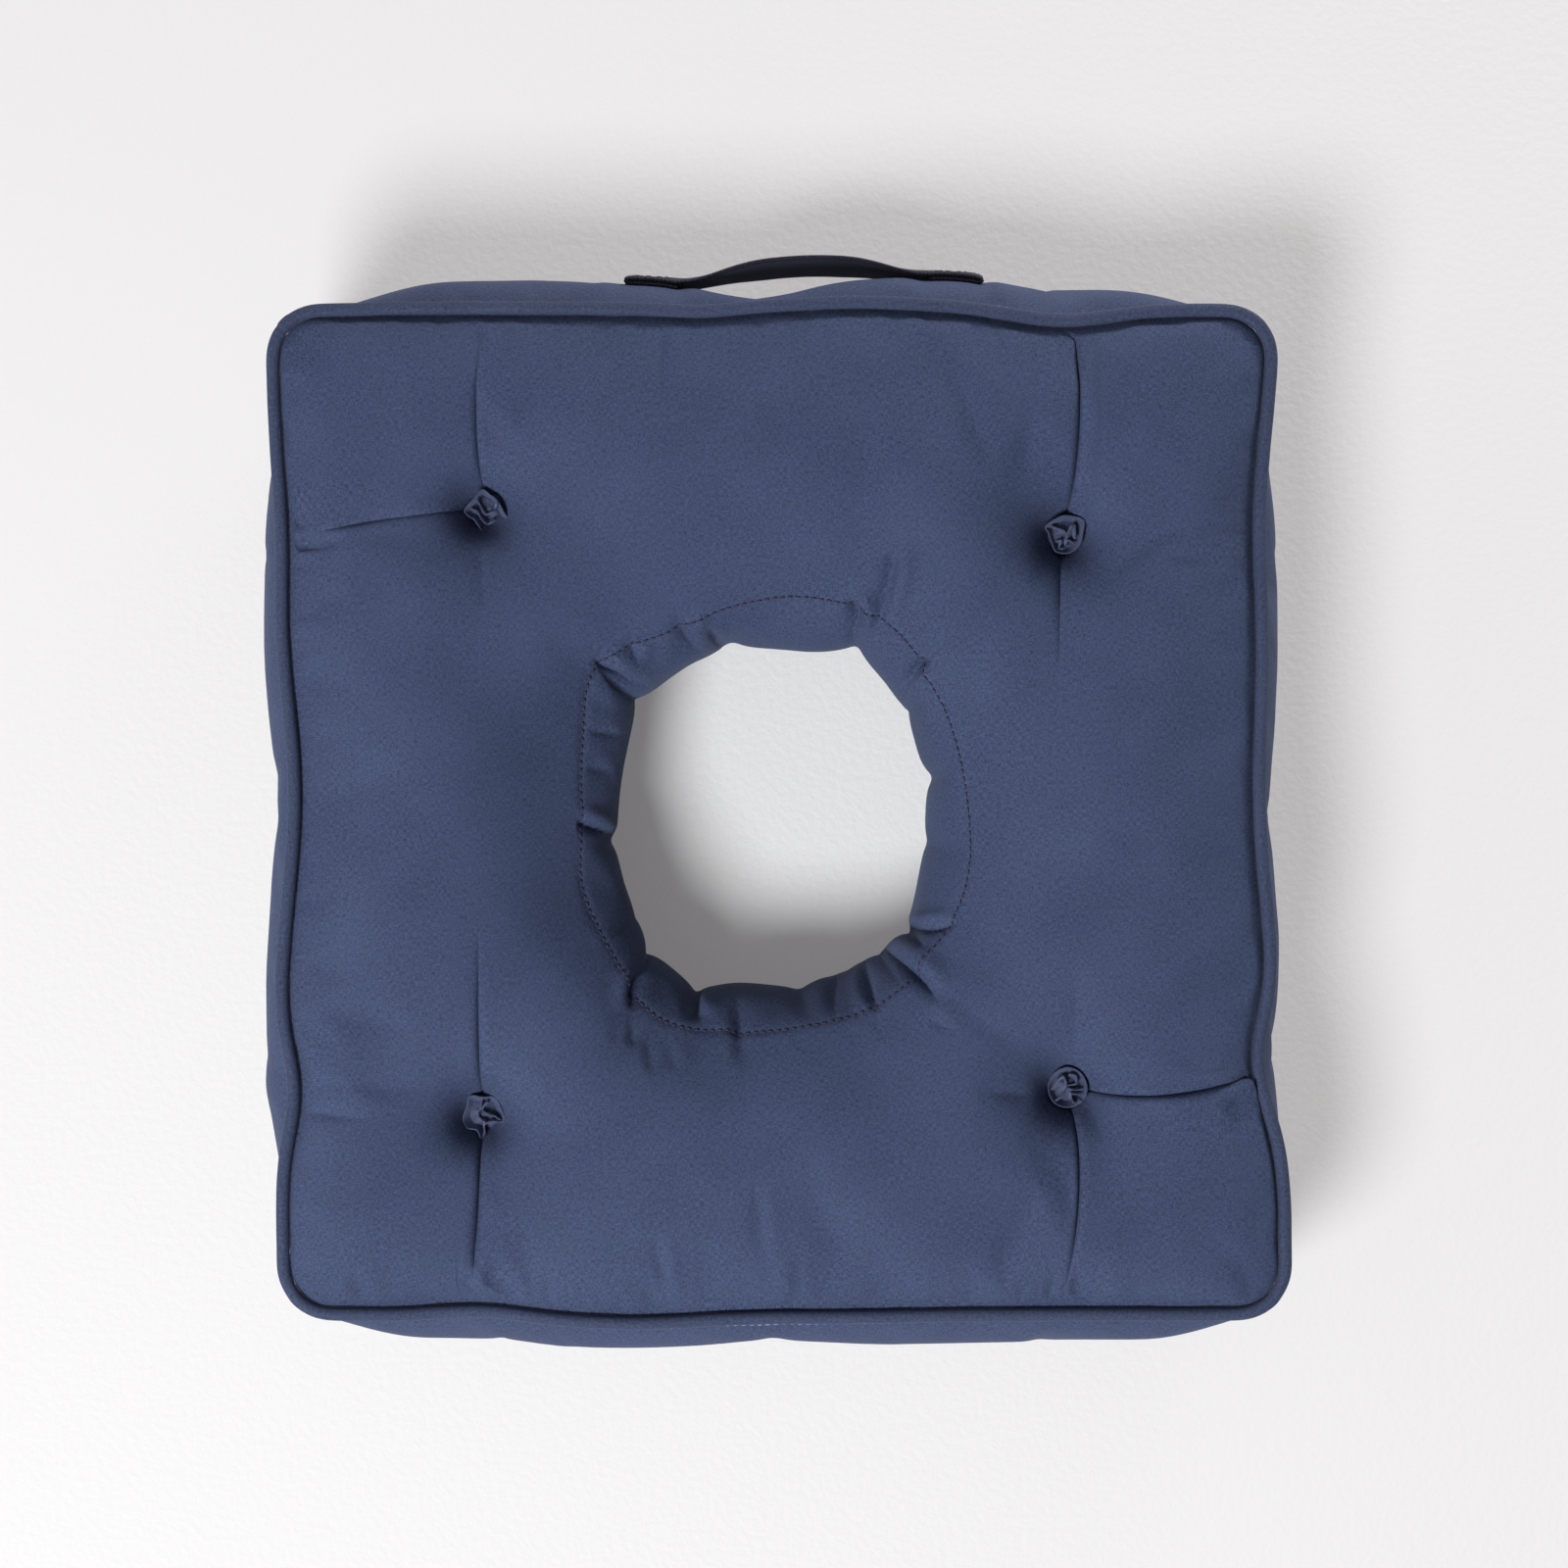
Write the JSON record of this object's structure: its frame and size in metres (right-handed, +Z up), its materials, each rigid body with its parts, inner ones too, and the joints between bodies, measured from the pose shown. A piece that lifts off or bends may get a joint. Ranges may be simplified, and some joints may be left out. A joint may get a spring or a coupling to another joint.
{
  "type": "floor cushion",
  "caption": "Square box-edged floor cushion with a round hole through the middle, tufted dimples, piped seams and a carry handle on one side.",
  "frame": {"origin": "on the floor, under the middle of the box round the whole object, carry handle included", "axes": "+Z up, the carry handle is on the +Y side, X runs along the handle"},
  "size_m": [0.418, 0.432, 0.1],
  "materials": {
    "cover_cloth": "matt plain-woven cotton, faded navy",
    "piping_cloth": "the same cotton, cut on the bias",
    "rosette_cloth": "the same cotton, gathered",
    "webbing": "plain-woven cotton webbing, dark navy",
    "thread": "polyester sewing thread, navy",
    "cotton_cord": "twisted cotton cord, undyed",
    "fibre": "loose polyester fibre, white",
    "tufting_twine": "twisted tufting twine, undyed"
  },
  "bodies": {
    "cushion": {"top_panel": "cover_cloth", "bottom_panel": "cover_cloth", "boxing_front": "cover_cloth", "boxing_back": "cover_cloth", "boxing_left": "cover_cloth", "boxing_right": "cover_cloth", "hole_sleeve": "cover_cloth", "piping_cover_top": "piping_cloth", "piping_cover_bottom": "piping_cloth", "piping_cord_top": "cotton_cord", "piping_cord_bottom": "cotton_cord", "fibre_filling": "fibre", "rosette_top_front_left": "rosette_cloth", "rosette_top_front_right": "rosette_cloth", "rosette_top_back_left": "rosette_cloth", "rosette_top_back_right": "rosette_cloth", "rosette_bottom_front_left": "rosette_cloth", "rosette_bottom_front_right": "rosette_cloth", "rosette_bottom_back_left": "rosette_cloth", "rosette_bottom_back_right": "rosette_cloth", "twine_front_left": "tufting_twine", "twine_front_right": "tufting_twine", "twine_back_left": "tufting_twine", "twine_back_right": "tufting_twine", "handle_leg_left": "webbing", "handle_leg_right": "webbing", "handle_tab_left": "webbing", "handle_tab_right": "webbing", "handle_stitching_left": "thread", "handle_stitching_right": "thread"},
    "handle": {"handle_grip": "webbing"}
  },
  "joints": [
    {"name": "handle_swing", "type": "hinge", "parent": "cushion", "child": "handle", "pos_m": [0.01, 0.202, 0.05], "axis": [1, 0, 0], "range_deg": [-35, 35]}
  ]
}
